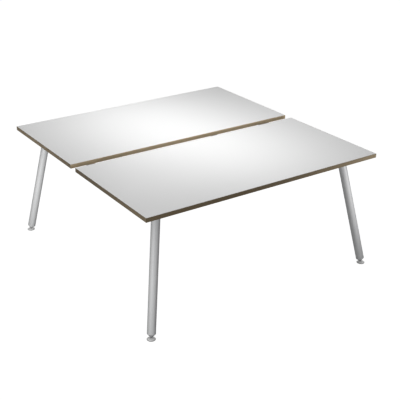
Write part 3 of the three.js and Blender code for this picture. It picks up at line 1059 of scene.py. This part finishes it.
def leaning_bar(radius, low, high, axis):
    profile = [(0.0, low), (radius, low), (radius, high), (0.0, high)]
    form = stand(spun(profile, FORM_SIDES), Vector(), axis)
    cut = {"plane_co": (0, 0, 0), "plane_no": UP, "clear_outer": True}
    bmesh.ops.bisect_plane(form, geom=form.verts[:] + form.edges[:] + form.faces[:], **cut)
    rim = [edge for edge in form.edges if edge.is_boundary]
    bmesh.ops.contextual_create(form, geom=rim)
    return form


print("plain forms ready, bars of", FORM_SIDES, "sides")

# %% [markdown]
# The head is put together with its flange at the origin and then moved to its place, which lies
# in the middle of its screws. Neck and spigot point to the other top, and the spigot is a
# little thinner than the neck, because it slides into the rail.

# %% Head form
FLANGE = 120 * MM
FLANGE_THICKNESS = 6 * MM
FLANGE_CORNER = 15 * MM
BOSS_LENGTH = 50 * MM
PLUG_LENGTH = 45 * MM
NECK_WIDTH = 20 * MM
NECK_DEPTH = 40 * MM
NECK_REACH = 75 * MM
SPIGOT_REACH = 120 * MM
SPIGOT_GAP = 2.3 * MM


def join_form(made, form):
    mesh = bpy.data.meshes.new("form")
    form.to_mesh(mesh)
    form.free()
    made.from_mesh(mesh)
    bpy.data.meshes.remove(mesh)


def head_form(corner):
    screws = [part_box(f"{corner}_{place}_head_screw") for place in ("outer", "inner")]
    middle = sum((low + high for low, high in screws), Vector()) / (2 * len(screws))
    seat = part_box(f"{corner}_leg_head")[1].z
    axis = legs[corner][1]
    inward = -math.copysign(1.0, middle.y)
    made = bmesh.new()
    join_form(made, rounded_plate(FLANGE, FLANGE_CORNER, -FLANGE_THICKNESS, 0))
    join_form(made, leaning_bar(tube_radius, -BOSS_LENGTH, tube_radius, axis))
    join_form(made, leaning_bar(plug_radius, -BOSS_LENGTH - PLUG_LENGTH, 0.0, axis))
    for reach, gap in ((NECK_REACH, 0.0), (SPIGOT_REACH, SPIGOT_GAP)):
        half = NECK_WIDTH / 2 - gap
        ends = sorted((0.0, inward * reach))
        block(made, Vector((-half, ends[0], -NECK_DEPTH + gap)), Vector((half, ends[1], -gap)))
    made.transform(Matrix.Translation(Vector((middle.x, middle.y, seat))))
    return made


print("head: flange", round(FLANGE / MM), "mm, spigot", round(SPIGOT_REACH / MM), "mm from its middle")

# %% Leg heads
VOXEL = 1.3 * MM
SKIN_PULL = 0.5
SKIN_ROUNDS = 6
KEPT_FACES = 0.35

for corner in CORNERS:
    made = head_form(corner)
    node = f"{corner}_leg_head"
    piece = place_piece(f"{corner}_cast_head", made, cast_metal, "desk", [node])
    remesh = piece.modifiers.new("one_skin", "REMESH")
    remesh.mode = "VOXEL"
    remesh.voxel_size = VOXEL
    remesh.use_smooth_shade = True
    skin = piece.modifiers.new("fillets", "SMOOTH")
    skin.factor = SKIN_PULL
    skin.iterations = SKIN_ROUNDS
    fewer = piece.modifiers.new("fewer_faces", "DECIMATE")
    fewer.ratio = KEPT_FACES
print("4 cast heads, remeshed at", round(VOXEL / MM, 2), "mm")

# %% [markdown]
# ## Screws and bolts
# The fasteners are button heads with a hexagon key. Each one is a single turned profile: it
# starts at the floor of the key, climbs the six walls, goes over the domed head and down the
# shank to a short point. Heights run down the hole, so the head lies below zero.

# %% Fastener
HEAD_SIDES = 48
DOME_ARC = 6
# shares of the head's rise, of its radius and of the shank's radius
KEY_DEPTH = 0.6
SIDE_RISE = 0.35
CROWN = 0.55
POINT_WIDTH = 0.67
POINT_LENGTH = 1 / 3


def fastener(size):
    head = size["head"] / 2
    rise = size["rise"]
    shank = size["shank"] / 2
    length = size["length"]
    key = size["key"] / 2
    key_floor = -rise * (1 - KEY_DEPTH)
    profile = [(0.0, key_floor), (key, key_floor), (key, -rise)]
    for step in range(DOME_ARC + 1):
        angle = math.pi / 2 * step / DOME_ARC
        reach = head * (CROWN + (1 - CROWN) * math.sin(angle))
        profile.append((reach, -rise * (SIDE_RISE + (1 - SIDE_RISE) * math.cos(angle))))
    profile += [(head, 0.0), (shank, 0.0), (shank, length - shank * POINT_LENGTH)]
    profile += [(shank * POINT_WIDTH, length), (0.0, length)]

    def key_shape(radius, height, angle):
        return hexagon(key, angle) if radius == key else radius

    return spun(profile, HEAD_SIDES, shape=key_shape)


print("fastener ready, heads of", HEAD_SIDES, "sides")

# %% [markdown]
# The CAD has two screws in each flange, a bolt that holds each spigot in its rail, and two bolts
# at each end of a beam. Each new one takes its seat from the CAD solid that it replaces. The
# other two holes of a flange get the same screw here, at the two free corners of the square.

# %% Screws and bolts
SCREW = {"head": 11 * MM, "rise": 3.2 * MM, "shank": 5 * MM, "length": 22 * MM, "key": 4 * MM}
BOLT = {"head": 14 * MM, "rise": 4.4 * MM, "shank": 8 * MM, "length": 16 * MM, "key": 5 * MM}


def head_seat(node, axis, size):
    low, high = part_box(node)
    middle = (low + high) / 2
    start = min(height for radius, height in rings_of(node, middle, axis))
    return middle + axis * (start + size["rise"])


for corner in CORNERS:
    outward = Vector((-1 if corner.endswith("left") else 1, 0, 0))
    fixings = {
        "outer_head_screw": (UP, SCREW),
        "inner_head_screw": (UP, SCREW),
        "rail_bolt": (UP, BOLT),
        "beam_bolt_a": (outward, BOLT),
        "beam_bolt_b": (outward, BOLT),
    }
    seats = {}
    for title, (axis, size) in fixings.items():
        node = f"{corner}_{title}"
        seats[title] = head_seat(node, axis, size)
        made = stand(fastener(size), seats[title], axis)
        place_piece(f"{node}_button", made, zinc_steel, "desk", [node])
    outer = seats["outer_head_screw"]
    inner = seats["inner_head_screw"]
    free_corners = {"side": (outer.x, inner.y, outer.z), "end": (inner.x, outer.y, outer.z)}
    for title, seat in free_corners.items():
        made = stand(fastener(SCREW), Vector(seat), UP)
        place_piece(f"{corner}_{title}_flange_button", made, zinc_steel, "desk")
print("20 CAD fasteners replaced, 8 flange screws added")

# %% [markdown]
# Three more screws go up through the underside of each beam, to hold the board flat. They are
# small trim, so they have no CAD node, and a hair of air keeps each head off the steel.

# %% Beam screws
BEAM_STATIONS = (-0.4, 0.0, 0.4)
SEAT_AIR = 0.05 * MM

for top in TOPS:
    low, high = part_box(f"{top}_beam")
    for number, station in enumerate(BEAM_STATIONS):
        seat = Vector((station, (low.y + high.y) / 2, low.z - SEAT_AIR))
        made = stand(fastener(SCREW), seat, UP)
        place_piece(f"{top}_beam_button_{number + 1}", made, zinc_steel, "desk")
print("6 beam screws added")

# %% [markdown]
# ## Weld beads
# The eared plates are welded to the ends of the beams, along the two sides and the bottom. A
# bead is a row of overlapping puddles, so its thickness ripples along its length. It is swept
# along the section of the tube, and its two ends taper where the welder stopped. The path holds
# a point and the direction away from the tube: down one side, round the corner, along half the
# bottom, and then the mirror image of that.

# %% Bead path
BEAM_WIDTH = 30 * MM
BEAM_DEPTH = 40 * MM
TUBE_CORNER = 3 * MM
CORNER_STEPS = 8
BEAD_STEP = 0.5 * MM
BEAD_TOP = 3.5 * MM


def bead_path():
    half = BEAM_WIDTH / 2
    inner = half - TUBE_CORNER
    points = []
    drop = BEAM_DEPTH - BEAD_TOP - TUBE_CORNER
    count = round(drop / BEAD_STEP)
    for step in range(count + 1):
        points.append((-half, -BEAD_TOP - drop * step / count, -1.0, 0.0))
    for step in range(1, CORNER_STEPS):
        angle = math.pi + math.pi / 2 * step / CORNER_STEPS
        y = -inner + TUBE_CORNER * math.cos(angle)
        z = -BEAM_DEPTH + TUBE_CORNER + TUBE_CORNER * math.sin(angle)
        points.append((y, z, math.cos(angle), math.sin(angle)))
    count = round(inner / BEAD_STEP)
    for step in range(count + 1):
        points.append((-inner + inner * step / count, -BEAM_DEPTH, 0.0, -1.0))
    mirrored = [(-y, z, -out_y, out_z) for y, z, out_y, out_z in reversed(points[:-1])]
    return points + mirrored


bead_line = bead_path()
print("bead path of", len(bead_line), "points")

# %% Weld beads
PLATE_THICKNESS = 4 * MM
BEAD = 1.7 * MM
BEAD_SIDES = 10
BEAD_FLATNESS = 0.8
RIPPLE = 0.22 * MM
PUDDLE = 2.1 * MM
TAPER_START = 0.15
TAPER_RINGS = 6


def weld_bead(face, inward, middle, seat):
    made = bmesh.new()
    rings = []
    travelled = 0.0
    for index, (y, z, out_y, out_z) in enumerate(bead_line):
        if index:
            travelled += math.hypot(y - bead_line[index - 1][0], z - bead_line[index - 1][1])
        from_end = min(index, len(bead_line) - 1 - index)
        taper = min(1.0, TAPER_START + from_end / TAPER_RINGS)
        thick = (BEAD + RIPPLE * math.sin(2 * math.pi * travelled / PUDDLE)) * taper
        ring = []
        for step in range(BEAD_SIDES):
            angle = 2 * math.pi * step / BEAD_SIDES
            out = thick * math.cos(angle) * BEAD_FLATNESS
            x = face + inward * thick * math.sin(angle)
            ring.append(made.verts.new((x, middle + y + out_y * out, seat + z + out_z * out)))
        rings.append(ring)
    for low, high in zip(rings, rings[1:]):
        for step in range(BEAD_SIDES):
            after = (step + 1) % BEAD_SIDES
            made.faces.new((low[step], low[after], high[after], high[step]))
    made.faces.new(rings[0])
    made.faces.new(rings[-1])
    return made


for top in TOPS:
    low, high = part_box(f"{top}_beam")
    middle = (low.y + high.y) / 2
    for side, face, inward in (("left", low.x, 1), ("right", high.x, -1)):
        made = weld_bead(face + inward * PLATE_THICKNESS, inward, middle, high.z)
        place_piece(f"{top}_beam_{side}_weld", made, silver_paint, "desk")
print("4 weld beads, about", round(2 * BEAD / MM, 1), "mm thick")
